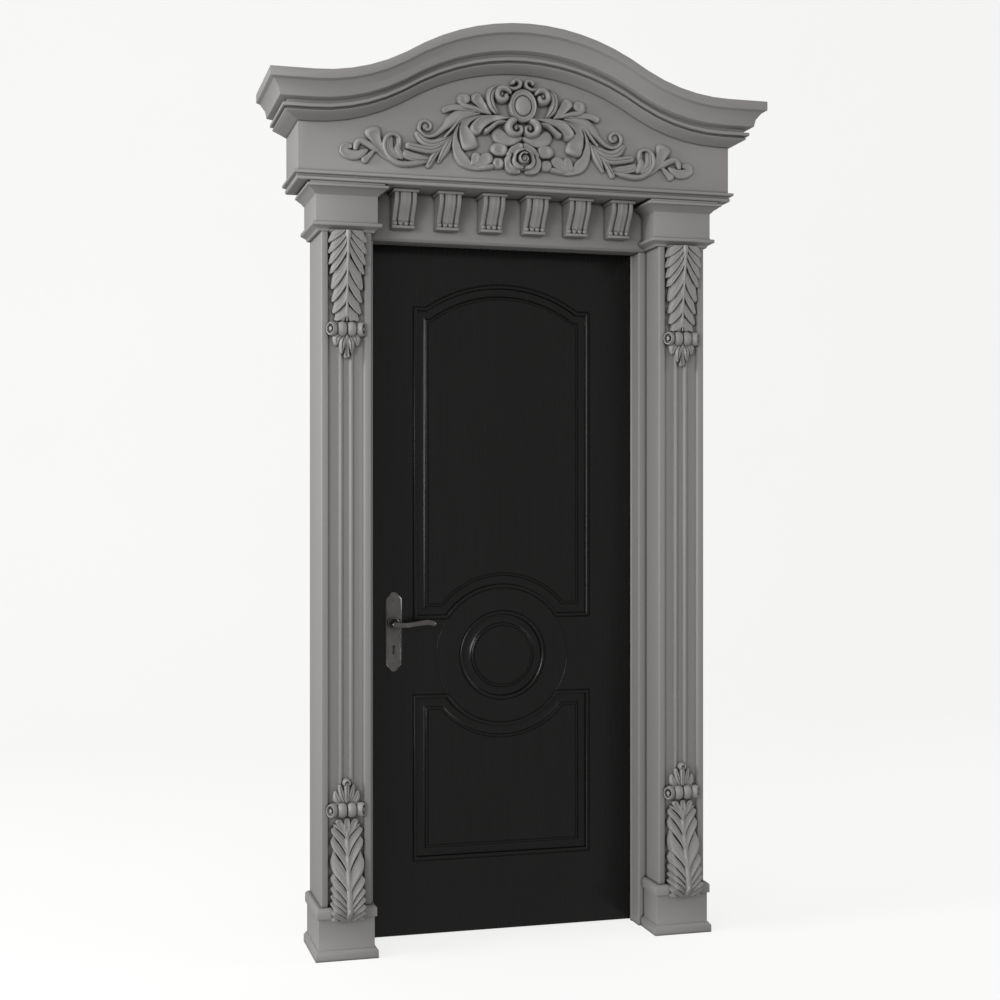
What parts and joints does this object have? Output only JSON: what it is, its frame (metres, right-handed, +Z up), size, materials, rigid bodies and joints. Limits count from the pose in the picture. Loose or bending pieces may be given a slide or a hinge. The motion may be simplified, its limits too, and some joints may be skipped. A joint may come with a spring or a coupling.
{
  "type": "door surround",
  "caption": "Classical door surround with pilasters, carved consoles, corbels and a swept pediment, hung with a panelled door and lever handle.",
  "frame": {"origin": "middle of the flat back of the frieze board, where the head is fixed to the wall, 2.3 m above the floor", "axes": "+Z up, +Y into the wall, +X to the right seen from the front"},
  "size_m": [1.472, 0.3853, 2.65],
  "materials": {
    "surround_paint": "warm grey satin paint on carved and moulded timber",
    "door_paint": "black satin paint on a panelled timber leaf",
    "handle_pewter": "aged pewter plating, worn bright on the edges",
    "hinge_steel": "plain satin steel"
  },
  "bodies": {
    "surround": {"cornice": "surround_paint", "frieze_board": "surround_paint", "carved_spray": "surround_paint", "string_course": "surround_paint", "header_board": "surround_paint", "corbel_1": "surround_paint", "corbel_2": "surround_paint", "corbel_3": "surround_paint", "corbel_4": "surround_paint", "corbel_5": "surround_paint", "corbel_6": "surround_paint", "capital_left": "surround_paint", "capital_right": "surround_paint", "pilaster_left": "surround_paint", "pilaster_right": "surround_paint", "upper_console_left": "surround_paint", "upper_console_right": "surround_paint", "lower_console_left": "surround_paint", "lower_console_right": "surround_paint", "plinth_left": "surround_paint", "plinth_right": "surround_paint", "jamb_lining_left": "surround_paint", "jamb_lining_right": "surround_paint", "hinge_frame_1": "hinge_steel", "hinge_frame_2": "hinge_steel", "hinge_frame_3": "hinge_steel"},
    "door": {"door_leaf": "door_paint", "backplate_outer": "handle_pewter", "backplate_inner": "handle_pewter", "hinge_leaf_1": "hinge_steel", "hinge_leaf_2": "hinge_steel", "hinge_leaf_3": "hinge_steel"},
    "lever": {"lever_outer": "handle_pewter", "lever_inner": "handle_pewter"}
  },
  "joints": [
    {"name": "door_hinge", "type": "hinge", "parent": "surround", "child": "door", "pos_m": [0.418, 0.0065, -1.27], "axis": [0, 0, -1], "range_deg": [0, 90]},
    {"name": "lever_turn", "type": "hinge", "parent": "door", "child": "lever", "pos_m": [-0.336, -0.0175, -1.369], "axis": [0, 1, 0], "range_deg": [0, 40], "stiffness_Nm_per_rad": 1, "springref_deg": -28.65}
  ]
}
